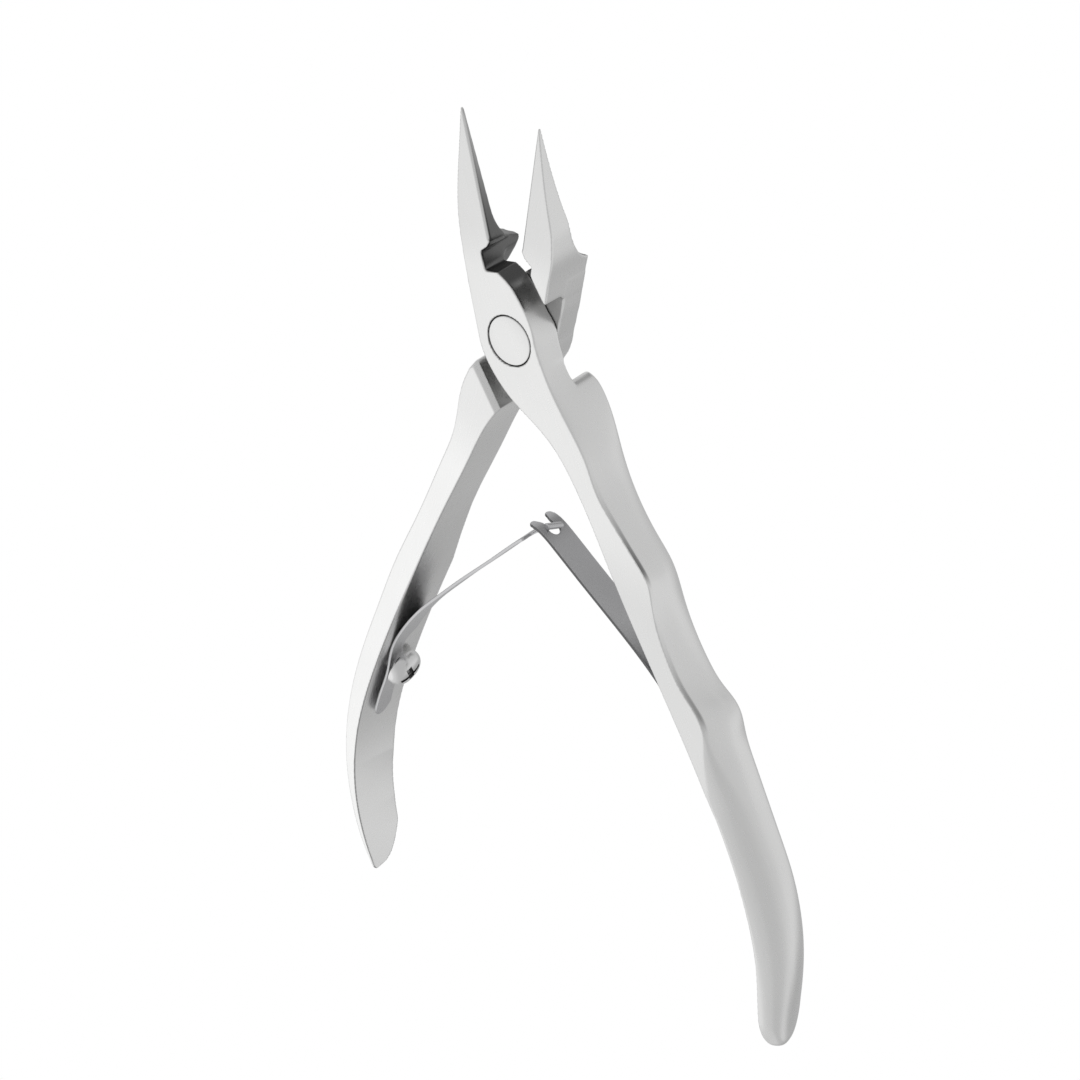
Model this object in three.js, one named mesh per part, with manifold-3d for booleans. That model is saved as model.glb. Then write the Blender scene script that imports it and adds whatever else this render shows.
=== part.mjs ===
// Cuticle nipper with a lap joint, a wavy handle, a plain handle and an interlocked pair of leaf springs.
// Millimetres. The origin is on the pivot axis at the back face, +Z runs along the pivot
// towards the front face, +Y points to the jaws and +X to the wavy handle.
//
// Each lever is drawn with its jaws shut, with the cutting edge on x = 0, and is then turned
// by half the opening angle. A lever's own side puts its jaw at positive "across" and its
// handle at negative "across"; the front lever is the mirrored one.
import * as THREE from 'three';
import { mergeVertices } from 'three/addons/utils/BufferGeometryUtils.js';
import Module from 'manifold-3d';

const wasm = await Module();
wasm.setup();

// Driving dimensions
const DEPTH = 7.6;
const LAP_GAP = 0.1;
const HALF_OPENING = THREE.MathUtils.degToRad(11.05);
const PAST = 3;

const JAW = { tipY: 30.1, baseY: 8, tipWidth: 0.3, tipDepth: 0.4 };
const BACK_FACET = { alongSlope: 0.119, acrossSlope: 0.63, fadeY: 13.7, stepY: 11.3 };
const RIVET = { headRadius: 3.3, shankRadius: 2.1, coneDepth: 1.4, headDepth: 0.8, backHeadInset: 0.5,
  backDepth: 0.4 };
const RIVET_CLEARANCE = 0.1;

const LEAF = { thickness: 0.5, width: 4.4, gap: 0.15 };
const FORK = { slotWidth: 1.5, slotLength: 3, eyeRadius: 1.0 };
const TONGUE = { neckWidth: 0.9, neckLength: 4.2, barRadius: 0.42, barLength: 2.6 };
const SCREW = { shank: 1.25, length: 4, head: 2.8, headHeight: 1.9, recess: 0.7,
  recessDepth: 0.7, clearance: 0.15 };
const SCREW_REACH = 67.1;
const FOOT_LENGTH = 10.3;

const MID = DEPTH / 2;
const FRONT_HALF = [MID + LAP_GAP / 2, DEPTH];
const BACK_HALF = [0, MID - LAP_GAP / 2];

// Edges of a handle as [y, across] points, from the rounded end up to the joint.
// inner faces the other handle, frontEdge and backEdge bound the convex outer side.
const WAVY_HANDLE = {
  endY: -101.4,
  roundLength: 5,
  inner: [[-101.4, -20.1], [-91, -21.2], [-80.5, -21.6], [-70, -20.2], [-54, -16.3], [-38, -11.6],
    [-20, -6.4], [-15.8, -4.5], [-10.6, -1.2], [-8.3, 1.5], [-5.6, 3.3], [-2.4, 4.5]],
  frontEdge: [[-101.4, -22.4], [-88, -24], [-78, -24.2], [-68, -22.6], [-57, -19.9], [-41, -15.4],
    [-33, -13.4], [-21, -9.8], [-16, -9], [-10, -6.9], [-5.4, -5.4], [-2.4, -4.75]],
  backEdge: [[-101.4, -21.7], [-88, -23.8], [-78, -24], [-68, -22.6], [-57, -19.9], [-41, -14.8],
    [-33, -12.6], [-21, -8.6], [-16, -7.5], [-10, -6.6], [-5.4, -5.4], [-2.4, -4.75]],
  crests: [
    { y: -30, front: 2.7, back: 0.9, spread: 3.6 },
    { y: -50.5, front: 2.2, back: 1.3, spread: 3.6 },
  ],
  bulge: 1.7,
  shoulderRadius: 8.2,
  sections: 64,
};
const PLAIN_HANDLE = {
  endY: -102.5,
  roundLength: 6,
  inner: [[-102.5, -11.6], [-92, -16.6], [-83, -18.1], [-74, -17.6], [-62, -15.5], [-40, -9.4],
    [-20.3, -3.9], [-14.5, -2.3], [-10.5, -0.1], [-8.3, 1.5], [-5.6, 3.3], [-2.4, 4.5]],
  frontEdge: [[-102.5, -12.9], [-94, -17], [-85, -19.6], [-75, -20.3], [-66, -19.3], [-55, -16.9],
    [-34, -10.9], [-16.6, -6.4], [-13, -6.1], [-7.1, -5.1], [-4.4, -4.4], [-2.4, -4.6]],
  crests: [],
  bulge: 1.9,
  shoulderRadius: 6.7,
  sections: 34,
};
PLAIN_HANDLE.backEdge = PLAIN_HANDLE.frontEdge;
// The outer side turns from flat at the joint to fully convex over this distance from the pivot
const SWELL_SPAN = [4, 22];
const END_ROUNDING = 0.92;
const END_THINNING = 0.3;

// Outlines as [across, y] points
const JAW_OUTER = [[-3, 4.6], [8, 4.6], [13, 4.55], [17.1, 4.3], [26.7, 1.25], [30.1, 0.3]];
const BOSS = [[4.5, 9.5], [1.5, 9.2], [-0.3, 9.1], [-1.6, 8.05], [-2.5, 6.6], [-3.2, 5.1], [-3.95, 3.5],
  [-4.4, 1.6], [-4.6, -0.6], [-4.7, -2.4], [4.5, -2.4]];
const THROAT = [[-6, 13], [0, 13], [0.65, 12.25], [1.8, 11.65], [1.7, 9.4], [1.5, 9.2], [-0.3, 9.1],
  [-6, 9.1]];
const JAW_SHOULDER = [[-6, 13.3], [0, 13.3], [1.2, 12.5], [2, 11.4], [3.2, 9.8], [4.8, 8.2], [9, 7]];
const STRAIGHT_WALL = { distance: 6.74, angle: THREE.MathUtils.degToRad(219.4) };

// Leaf centre lines at rest as [x, y], from the foot to the tip
const FORK_FLIGHT = [[26.4, -51.6], [23.6, -46.9], [19.6, -42.4], [11.6, -35.35], [3.9, -28.55],
  [2.1, -27.6], [0.4, -27.2]];
const TONGUE_FLIGHT = [[-24.6, -54.2], [-22.3, -50], [-18.6, -46.3], [-10, -38.5], [-0.4, -29.65]];

const STEEL = { color: 0xd9dadb, roughness: 0.32, metalness: 1 };
const SPRING_STEEL = { color: 0x8f9194, roughness: 0.3, metalness: 1 };
const SCREW_STEEL = { color: 0xc9cacc, roughness: 0.22, metalness: 1 };

// Solids and meshes
function solid(geometry) {
  const bare = geometry.index ? geometry.clone() : geometry;
  bare.deleteAttribute('normal');
  bare.deleteAttribute('uv');
  const merged = mergeVertices(bare, 1e-4);
  return new wasm.Manifold(new wasm.Mesh({
    numProp: 3,
    vertProperties: new Float32Array(merged.attributes.position.array),
    triVerts: new Uint32Array(merged.index.array),
  }));
}

function part(name, body, finish, turn = 0) {
  const { vertProperties, triVerts } = body.getMesh();
  const geometry = new THREE.BufferGeometry();
  geometry.setAttribute('position', new THREE.BufferAttribute(vertProperties, 3));
  geometry.setIndex(new THREE.BufferAttribute(triVerts, 1));
  geometry.computeVertexNormals();
  const mesh = new THREE.Mesh(geometry, new THREE.MeshStandardMaterial(finish));
  mesh.name = name;
  mesh.rotation.z = turn;
  return mesh;
}

function prism(outline, [low, high], side = 1) {
  const shape = new THREE.Shape(outline.map(([across, y]) => new THREE.Vector2(across * side, y)));
  const geometry = new THREE.ExtrudeGeometry(shape, { depth: high - low, bevelEnabled: false });
  return solid(geometry.translate(0, 0, low));
}

// A box whose unit coordinates (across, along, up) are moved onto a curved block
function warpedBox([across, along, up], side, place) {
  const box = new THREE.BoxGeometry(1, 1, 1, across, along, up).translate(0.5, 0.5, 0.5);
  const position = box.attributes.position;
  for (let i = 0; i < position.count; i += 1) {
    const [x, y, z] = place(position.getX(i), position.getY(i), position.getZ(i));
    position.setXYZ(i, x * side, y, z);
  }
  if (side < 0) {
    box.index.array.reverse();
  }
  return solid(box);
}

function smoothEdge(points) {
  const heights = points.map(([y]) => y);
  const spline = new THREE.CubicInterpolant(heights, points.map(([, across]) => across), 1);
  return (y) => spline.evaluate(y)[0];
}

// Lever
function handleEdges(handle) {
  const inner = smoothEdge(handle.inner);
  const front = smoothEdge(handle.frontEdge);
  const back = smoothEdge(handle.backEdge);
  const crest = (y, height) => handle.crests.reduce(
    (sum, wave) => sum + wave[height] * Math.exp(-(((y - wave.y) / wave.spread) ** 2)), 0);
  return {
    inner,
    front: (y) => front(y) - crest(y, 'front'),
    back: (y) => back(y) - crest(y, 'back'),
  };
}

function handleBlock(handle, side) {
  const edges = handleEdges(handle);
  const topY = handle.inner[handle.inner.length - 1][0];
  const roundY = handle.endY + handle.roundLength;
  return warpedBox([2, handle.sections, 6], side, (u, v, w) => {
    const y = THREE.MathUtils.lerp(handle.endY, topY, v);
    const inner = edges.inner(y);
    const swell = handle.bulge * THREE.MathUtils.smoothstep(-y, ...SWELL_SPAN) * Math.sin(Math.PI * w);
    const outer = THREE.MathUtils.lerp(edges.back(y), edges.front(y), w) - swell;
    const past = Math.max(0, (roundY - y) / handle.roundLength);
    const narrowing = Math.sqrt(1 - END_ROUNDING * past * past);
    const centre = (inner + edges.front(y)) / 2;
    const across = THREE.MathUtils.lerp(outer, inner, u);
    const up = MID + (w * DEPTH - MID) * (1 - END_THINNING * past * past);
    return [centre + (across - centre) * narrowing, y, up];
  });
}

function jawDepth(across, y) {
  const facet = JAW.tipDepth + BACK_FACET.alongSlope * (JAW.tipY - y) + BACK_FACET.acrossSlope * across;
  const fade = THREE.MathUtils.clamp((BACK_FACET.fadeY - y) / (BACK_FACET.fadeY - BACK_FACET.stepY), 0, 1);
  return THREE.MathUtils.lerp(Math.min(facet, DEPTH), DEPTH, 1 - Math.sqrt(1 - fade * fade));
}

function jawBlock(side) {
  const outer = smoothEdge(JAW_OUTER);
  return warpedBox([4, 44, 1], side, (u, v, w) => {
    const y = THREE.MathUtils.lerp(JAW.baseY, JAW.tipY, v);
    const across = u * Math.max(outer(y), JAW.tipWidth);
    return [across, y, DEPTH - (1 - w) * jawDepth(across, y)];
  });
}

// A flush rivet with a countersunk head at each end; grow widens it into the hole it sits in
function rivetSolid(grow) {
  const head = RIVET.headRadius + grow;
  const backHead = head - RIVET.backHeadInset;
  const shank = RIVET.shankRadius + grow;
  const frontCone = DEPTH - RIVET.headDepth;
  const outline = [[0, 0], [backHead, 0], [backHead, RIVET.backDepth],
    [shank, RIVET.backDepth + RIVET.coneDepth],
    [shank, frontCone - RIVET.coneDepth], [head, frontCone], [head, DEPTH], [0, DEPTH]];
  const points = outline.map(([radius, z]) => new THREE.Vector2(radius, z));
  return solid(new THREE.LatheGeometry(points, 48).rotateX(Math.PI / 2));
}

// Everything on the pivot's side of a straight shoulder wall
function straightWall() {
  const { distance, angle } = STRAIGHT_WALL;
  const foot = new THREE.Vector2(Math.cos(angle), Math.sin(angle)).multiplyScalar(distance);
  const run = new THREE.Vector2(-Math.sin(angle), Math.cos(angle)).multiplyScalar(14);
  return [[foot.x + run.x, foot.y + run.y], [foot.x - run.x, foot.y - run.y], [-8, 8], [8, 8]];
}

function roundWall(radius) {
  const circle = new THREE.Shape().absarc(0, 0, radius, 0, 2 * Math.PI);
  return circle.getPoints(60).slice(0, -1).map((point) => [point.x, point.y]);
}

function lever(handle, side, ownHalf, otherHalf) {
  const cutRange = otherHalf === BACK_HALF
    ? [-PAST, MID + LAP_GAP / 2]
    : [MID - LAP_GAP / 2, DEPTH + PAST];
  const jawRoom = [...JAW_SHOULDER, [9, -2], [-9, -2], [-9, 13.3]];
  return jawBlock(side)
    .subtract(prism(THROAT, [-PAST, DEPTH + PAST], side))
    .add(prism(BOSS, ownHalf, side))
    .add(handleBlock(handle, side))
    .subtract(prism(jawRoom, cutRange, side))
    .subtract(prism(straightWall(), cutRange, side))
    .subtract(prism(roundWall(handle.shoulderRadius), cutRange, side))
    .subtract(rivetSolid(RIVET_CLEARANCE));
}

// A place on a handle's inner face at rest: the spot, the way up the handle and the way off the face
function facePlace(handle, side, turn, y) {
  const { inner } = handleEdges(handle);
  const spot = new THREE.Vector2(inner(y) * side, y);
  const along = new THREE.Vector2(inner(y + 0.5) * side, y + 0.5).sub(spot).normalize();
  const inward = new THREE.Vector2(along.y * side, -along.x * side);
  const origin = new THREE.Vector2(0, 0);
  [spot, along, inward].forEach((vector) => vector.rotateAround(origin, turn));
  return { spot, along, inward };
}

function screwHeight(handle) {
  const { inner } = handleEdges(handle);
  let y = -SCREW_REACH;
  for (let pass = 0; pass < 8; pass += 1) {
    y = -Math.sqrt(SCREW_REACH ** 2 - inner(y) ** 2);
  }
  return y;
}

// Leaf springs
function leafCurve(handle, side, turn, flight) {
  const lift = LEAF.gap + LEAF.thickness / 2;
  const foot = [-FOOT_LENGTH, -FOOT_LENGTH / 2, 0, 4].map((step) => {
    const { spot, inward } = facePlace(handle, side, turn, screwHeight(handle) + step);
    return spot.addScaledVector(inward, lift);
  });
  return new THREE.SplineCurve([...foot, ...flight.map(([x, y]) => new THREE.Vector2(x, y))]);
}

function ribbon(curve, count, low, high) {
  const left = [];
  const right = [];
  for (let i = 0; i <= count; i += 1) {
    const t = i / count;
    const point = curve.getPointAt(t);
    const tangent = curve.getTangentAt(t);
    left.push([point.x - tangent.y * LEAF.thickness / 2, point.y + tangent.x * LEAF.thickness / 2]);
    right.push([point.x + tangent.y * LEAF.thickness / 2, point.y - tangent.x * LEAF.thickness / 2]);
  }
  return prism([...left, ...right.reverse()], [low, high]);
}

// A cylinder along an in-plane direction at mid depth
function crossPin(radius, length, spot, direction) {
  const pin = new THREE.CylinderGeometry(radius, radius, length, 32);
  pin.rotateZ(Math.atan2(direction.y, direction.x) - Math.PI / 2);
  return solid(pin.translate(spot.x, spot.y, MID));
}

function block(size, spot, direction) {
  const box = new THREE.BoxGeometry(...size).rotateZ(Math.atan2(direction.y, direction.x));
  return solid(box.translate(spot.x, spot.y, MID));
}

function forkSpring(curve, seat) {
  const tip = curve.getPointAt(1);
  const tipRun = tip.clone().sub(curve.getPointAt(0.95)).normalize();
  const slotEnd = tip.clone().addScaledVector(tipRun, -FORK.slotLength);
  const slotCentre = tip.clone().addScaledVector(tipRun, -FORK.slotLength / 2);
  const normal = new THREE.Vector2(-tipRun.y, tipRun.x);
  return ribbon(curve, 64, MID - LEAF.width / 2, MID + LEAF.width / 2)
    .subtract(block([FORK.slotLength + 1, 3, FORK.slotWidth], slotCentre, tipRun))
    .subtract(crossPin(FORK.eyeRadius, 4, slotEnd, normal))
    .subtract(crossPin(SCREW.shank + SCREW.clearance, 4, seat.spot, seat.inward));
}

function tongueSpring(curve, seat) {
  const shoulder = curve.getPointAt(1);
  const run = curve.getTangentAt(1);
  const neckCentre = shoulder.clone().addScaledVector(run, TONGUE.neckLength / 2 - 0.2);
  const bar = new THREE.CylinderGeometry(TONGUE.barRadius, TONGUE.barRadius, TONGUE.barLength, 24);
  const barSpot = shoulder.clone().addScaledVector(run, TONGUE.neckLength);
  bar.rotateX(Math.PI / 2).translate(barSpot.x, barSpot.y, MID);
  return ribbon(curve, 64, MID - LEAF.width / 2, MID + LEAF.width / 2)
    .add(block([TONGUE.neckLength + 0.4, LEAF.thickness * 0.8, TONGUE.neckWidth], neckCentre, run))
    .add(solid(bar))
    .subtract(crossPin(SCREW.shank + SCREW.clearance, 4, seat.spot, seat.inward));
}

// Pan-head screw with a cross recess, its head resting on the leaf
function screw(seat) {
  const seatHeight = LEAF.gap * 2 + LEAF.thickness;
  const arc = new THREE.EllipseCurve(0, seatHeight, SCREW.head, SCREW.headHeight, 0, Math.PI / 2);
  const dome = arc.getPoints(7);
  dome.pop();
  const profile = [
    new THREE.Vector2(0, seatHeight - SCREW.length),
    new THREE.Vector2(SCREW.shank, seatHeight - SCREW.length),
    new THREE.Vector2(SCREW.shank, seatHeight),
    ...dome,
    new THREE.Vector2(0, seatHeight + SCREW.headHeight),
  ];
  const slotLength = SCREW.head * 1.5;
  const turn = Math.atan2(seat.inward.y, seat.inward.x) - Math.PI / 2;
  const stand = (geometry) => solid(geometry.rotateZ(turn).translate(seat.spot.x, seat.spot.y, MID));
  const slot = (wide, long) => new THREE.BoxGeometry(wide, SCREW.recessDepth * 2, long)
    .translate(0, seatHeight + SCREW.headHeight, 0);
  return stand(new THREE.LatheGeometry(profile, 32))
    .subtract(stand(slot(SCREW.recess, slotLength)))
    .subtract(stand(slot(slotLength, SCREW.recess)));
}

// A blind hole in the handle for the screw's shank
function drilled(body, seat, turn) {
  const depth = SCREW.length - LEAF.thickness - LEAF.gap + 0.2;
  const centre = new THREE.Vector2(0, 0);
  const middle = seat.spot.clone().addScaledVector(seat.inward, (1 - depth) / 2).rotateAround(centre, -turn);
  const direction = seat.inward.clone().rotateAround(centre, -turn);
  return body.subtract(crossPin(SCREW.shank + SCREW.clearance, depth + 1, middle, direction));
}

const frontTurn = HALF_OPENING;
const rearTurn = -HALF_OPENING;
const forkSeat = facePlace(WAVY_HANDLE, -1, frontTurn, screwHeight(WAVY_HANDLE));
const tongueSeat = facePlace(PLAIN_HANDLE, 1, rearTurn, screwHeight(PLAIN_HANDLE));
const forkCurve = leafCurve(WAVY_HANDLE, -1, frontTurn, FORK_FLIGHT);
const tongueCurve = leafCurve(PLAIN_HANDLE, 1, rearTurn, TONGUE_FLIGHT);
const frontLever = drilled(lever(WAVY_HANDLE, -1, FRONT_HALF, BACK_HALF), forkSeat, frontTurn);
const rearLever = drilled(lever(PLAIN_HANDLE, 1, BACK_HALF, FRONT_HALF), tongueSeat, rearTurn);

const nipper = new THREE.Group();
nipper.add(
  part('front_lever', frontLever, STEEL, frontTurn),
  part('rear_lever', rearLever, STEEL, rearTurn),
  part('pivot_rivet', rivetSolid(0), STEEL),
  part('fork_spring', forkSpring(forkCurve, forkSeat), SPRING_STEEL),
  part('tongue_spring', tongueSpring(tongueCurve, tongueSeat), SPRING_STEEL),
  part('fork_spring_screw', screw(forkSeat), SCREW_STEEL),
  part('tongue_spring_screw', screw(tongueSeat), SCREW_STEEL),
);

export default nipper;
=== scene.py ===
"""Cuticle nipper: fine surfaces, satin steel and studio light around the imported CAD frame.

Lengths are millimetres until a mesh is made, and metres after that. The frame is the CAD's own:
origin on the pivot axis at the back face, +Z along the pivot, +Y to the jaws, +X to the wavy handle.
Every piece but the rivet is a distance field: sides and cutters are combined with rounded edges,
and the field's zero surface becomes the mesh.
"""
import math

import bpy
import numpy as np
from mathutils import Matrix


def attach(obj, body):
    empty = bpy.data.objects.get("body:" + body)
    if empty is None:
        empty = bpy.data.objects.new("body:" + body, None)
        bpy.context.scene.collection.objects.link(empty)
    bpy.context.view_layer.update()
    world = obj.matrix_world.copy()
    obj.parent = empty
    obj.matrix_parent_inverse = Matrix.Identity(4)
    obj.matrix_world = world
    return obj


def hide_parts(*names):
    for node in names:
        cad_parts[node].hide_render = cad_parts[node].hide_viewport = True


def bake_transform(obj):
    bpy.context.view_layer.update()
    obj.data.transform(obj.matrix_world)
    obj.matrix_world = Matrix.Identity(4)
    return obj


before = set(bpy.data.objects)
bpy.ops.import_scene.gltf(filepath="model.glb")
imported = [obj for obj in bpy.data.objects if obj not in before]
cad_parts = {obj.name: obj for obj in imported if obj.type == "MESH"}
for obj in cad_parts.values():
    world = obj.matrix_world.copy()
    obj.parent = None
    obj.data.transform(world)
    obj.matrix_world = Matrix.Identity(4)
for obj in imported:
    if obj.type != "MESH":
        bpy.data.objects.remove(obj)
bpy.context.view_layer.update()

import openvdb as vdb
from mathutils import Matrix, Vector

MM = 0.001
DEPTH = 7.6
MID = DEPTH / 2
LAP_GAP = 0.1
HALF_OPENING = math.radians(11.05)

LEVER_VOXEL = (0.16, 0.24, 0.16)
FINE_VOXEL = (0.06, 0.06, 0.06)
GRID_MARGIN = 0.6

# How widely an edge is rounded where two sides meet
SOFT_EDGE = 0.3
FACE_EDGE = 0.2
PLAIN_EDGE = 0.15
CARVED_EDGE = 0.12
CRISP_EDGE = 0.1
CUTTING_EDGE = 0.08
KEEN_EDGE = 0.05

# Turns the sum of two distances at right angles into the distance from a 45 degree cut
DIAGONAL = 0.7071

RIVET_HEAD = 3.3
RIVET_HOLE = 3.4
SHANK_HOLE = 2.2
RIVET_SIDES = 128

# Lever edges as (y, across) points, from the rounded end up to the joint. A lever's jaw is at
# positive across and its handle at negative across; the front lever is mirrored into place.
#   inner         edge of the flat face that the leaf lies along
#   front, back   outer edge on the front face and on the back face
#   outer_jaw     outer edge of the jaw
#   boss_side     the part of the hub's outline that is this lever's own, as (across, y)
#   ridge         how far the soft ridge between front and back stands out
#   creases       (y, depth, painted shade) of the creases beside the front strip
#   draft         (y, lean) of the inner face, towards the back
#   leaf_gap      gap between the inner face and the leaf's foot
#   shoulder      radius that the other lever's hub turns in
#   wall          distance and direction of the wall that the other lever's arm meets
#   strip_fade    how much the strip's edge softens towards the end
#   ..._round     how wide the rounding is beside the wall, on the back edge and round the end
#   end           lowest y, the depth it is at, its rise to the front and to the back, and the power
WAVY = {
    "inner": [(-104, -20.1), (-96, -20.6), (-88, -21.7), (-71, -20.6), (-54, -16.4), (-31.7, -9.65),
              (-18, -5.7), (-12, -2.2), (-8.3, 1.5), (-5.6, 3.4), (-2.4, 4.7), (0.5, 5)],
    "front": [(-104, -23), (-96, -23.9), (-80, -24.3), (-66, -21.6), (-60, -20.7), (-55.5, -20.1),
              (-49.5, -19.6), (-46, -17.7), (-43, -16.6), (-34.5, -15.45), (-31, -15.4), (-28, -14),
              (-23.3, -11.4), (-20, -9.8), (-15.5, -8.85), (-10, -6.75), (-5.4, -5.1), (0.5, -4.0)],
    "back": [(-104, -20.8), (-97.5, -22.2), (-93.4, -23.3), (-74.5, -24.7), (-70.2, -23.9),
             (-59.5, -21.7), (-55, -21), (-50.5, -20.1), (-48.5, -18.5), (-45.6, -16.95),
             (-36.7, -14.55), (-31.3, -13.5), (-28, -11.9), (-17, -8.8), (-7.5, -7.1), (-4.5, -5.6),
             (-2.4, -5.2), (0.5, -4.8)],
    "outer_jaw": [(-3, 5.1), (4, 5), (11.8, 4.8), (16.2, 4.37), (25, 1.93), (30.1, 0.3)],
    "boss_side": [(4.3, -3.4), (4.9, -1.5), (5.1, 0.3), (5, 4), (4.95, 8), (4.9, 9.5)],
    "ridge": 1.0,
    "creases": [(-29.5, 0.3, 0.85), (-49.5, 0.2, 0.6)],
    "draft": [(-104, 0), (0.5, 0)],
    "leaf_gap": 0.4,
    "shoulder": 8.2,
    "wall": (6.74, math.radians(219.4)),
    "wall_round": 1.5,
    "strip_fade": 3.0,
    "back_round": 1.1,
    "end": (-101.3, 4.2, 2.4, 3.0, 2.8),
    "end_round": 1.5,
}
PLAIN = {
    "inner": [(-105, -9.8), (-101.6, -12.2), (-92, -16.6), (-64.5, -16), (-41, -10.1), (-30, -6.9),
              (-20.5, -3.95), (-10.5, -0.1), (-8.3, 1.3), (-5.6, 2.75), (-2.4, 4), (0.5, 4.25)],
    "front": [(-105, -10.6), (-101.6, -12.75), (-99.5, -14.2), (-93, -17.4), (-62, -18.5), (-52, -16.3),
              (-44, -14.4), (-34, -11.35), (-22.6, -8.2), (-17.5, -7), (-9.6, -6.4), (-4.4, -4.9),
              (0.5, -4.5)],
    "outer_jaw": [(-3, 4.4), (8, 4.65), (11.5, 4.7), (13.4, 4.75), (15.5, 4.5), (17.1, 4.2),
                  (19.5, 3.4), (30.1, 0.3)],
    "boss_side": [(2.7, -4.1), (3.4, -3.6), (3.85, -2.9), (4.1, -1.9), (4.25, -0.6), (4.33, 1.1),
                  (4.6, 5), (4.65, 8), (4.67, 9.5)],
    "ridge": 1.3,
    "creases": [],
    "draft": [(-105, -0.9), (-98, -0.25), (-94, 0.35), (-85, 1.15), (-65, 1.25), (-45, 1.15),
              (-40, 0.6), (-34, 0.1), (-30, 0), (0.5, 0)],
    "leaf_gap": 0.7,
    "shoulder": 6.7,
    "wall": (7.45, math.radians(221)),
    "wall_round": 0.9,
    "strip_fade": 0.0,
    "back_round": 0.6,
    "end": (-102.3, 6.2, 0.3, 4.0, 2.6),
    "end_round": 0.25,
}
PLAIN["back"] = PLAIN["front"]

# The hub's side towards the handle, as (y, across), and the heights that its curve is read at
BOSS_EDGE = [(-3.2, -4.4), (-0.6, -4.15), (1.6, -4.1), (3.5, -3.75), (5.1, -3.15), (6.6, -2.45),
             (8.05, -1.45), (9.1, -0.3)]
BOSS_EDGE_Y = np.arange(8.9, -3.3, -0.2)

# Outlines in a lever's plan, as (across, y). JAW_ROOM is kept clear for the other lever's hub.
BOSS_TOP = [(1.5, 9.2), (-0.3, 9.1)]
THROAT = [(-6, 13), (0, 13), (0.65, 12.25), (1.8, 11.65), (1.7, 9.4), (1.5, 9.2), (-0.3, 9.1),
          (-6, 9.1)]
JAW_SHOULDER = [(-6, 13.5), (-0.3, 13.5), (0.5, 12.5), (1.3, 11.2), (2.4, 9.75), (4, 8), (4.8, 7.3),
                (9, 6.2)]
JAW_ROOM = JAW_SHOULDER + [(9, -2), (-9, -2), (-9, 13.5)]

# The handle's outer side
RIDGE_FROM = -4
RIDGE_FULL = -22
RIDGE_LESS_FROM = -84
RIDGE_AT_END = 0.35
CREST = 0.45
CREST_ROUND = 0.2
LIP_SHARE = 0.12
LIP_POWER = 10
CREASE_LENGTH = 6.5
CREASE_STOP = 1.6
CREASE_DEPTH_SHARE = 0.96
CREASE_WIDTH_SHARE = 0.03
SWELL_POWER = 0.75
STRIP_FADES = (50, 66)

# The joint and the jaws
WALL_CHAMFER = 0.65
CHAMFER_ZONE = 2
HUB_DRAFT = 0.2
ROOM_ROUND = 1.4
JAW_TIP_Y = 30.1
JAW_BASE_Y = 7.0
JAW_TIP_DEPTH = 0.25
FACET_ALONG = 0.09
FACET_ACROSS = 0.53
FACET_LEAN = 0.87
FACET_STEP_Y = 11.2
FACET_STEP_ROUND = 5.8
JAW_SIDE_LEAN = 0.97
JAW_ROOM_ROUND = 1.2
JAW_BEVEL = 0.3
BEVEL_FROM_Y = 13.2

# Leaf springs. A flight is the leaf's free part, as (x, y) points in the frame's plan.
LEAF_THICK = 0.45
LEAF_WIDTH = 4.4
LEAF_EDGE = 0.12
LEAF_CORNER = 0.5
FACE_DRAFT = 0.155
FACE_DRAFT_FADE = 8
FOOT_LENGTH = 10.3
NECK_LENGTH = 4.2
NECK_HALF = 0.45
BAR_RADIUS = 0.48
BAR_HALF = 1.25
BAR_SLANT = 0.35
EYE_REACH = 2.75
EYE_RADIUS = 0.9
SLOT_HALF = 0.62
SLOT_FLARE = 0.5
SLOT_FLARE_LENGTH = 1.6
PRONG_MIDDLE = 1.45
PRONG_ROUND = 0.75
PRONG_FROM = 0.9
FORK_FLIGHT = [(26.7, -51.8), (24, -46.9), (20.2, -42.4), (15.3, -38), (8.85, -32.75), (5, -29.55),
               (3.7, -28.5), (2.6, -27.75), (1.5, -27.3), (0.35, -27.2)]
TONGUE_FLIGHT = [(-26.35, -57.6), (-24.75, -54.6), (-22.5, -51.3), (-19.4, -47.6), (-16.2, -44.4),
                 (-12.2, -40.5), (-8.2, -36.8), (-4.5, -33.3), (-0.9, -30), (1, -28.6), (3, -27.45)]

# Screws: reach is from the pivot. The heads have a radius and a height, and stand off their leaves.
SCREW_REACH = 67.1
SCREW_HOLE = 1.2
SCREW_DEPTH = 2.5
SCREW_SHANK = 1.0
SCREW_LENGTH = 3.3
SCREW_TURN = math.radians(28)
SCREW_BOX = 3.2
DOME_POWER = 2.6
RECESS_HALF = 0.48
RECESS_SPAN = 0.62
RECESS_FLOOR = 0.3
RECESS_SLOPE = 0.3
RECESS_SHADE = 0.8
FORK_SCREW = {"head": 2.1, "tall": 1.1, "raised": 0.1, "z_at": MID}
TONGUE_SCREW = {"head": 2.9, "tall": 2.1, "raised": 0.55, "z_at": MID - 0.4}

# Steel. The grain's size and relief are in metres.
GRAIN_SIZE = 0.00012
GRAIN_STRETCH = 30.0
GRAIN_BUMP = 0.025
GRAIN_RELIEF = 0.00001
CLOUD_SCALE = 110.0
VARIATION = 0.03
SHADED = 0.19
FAINT_SHADE = 0.13


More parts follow.
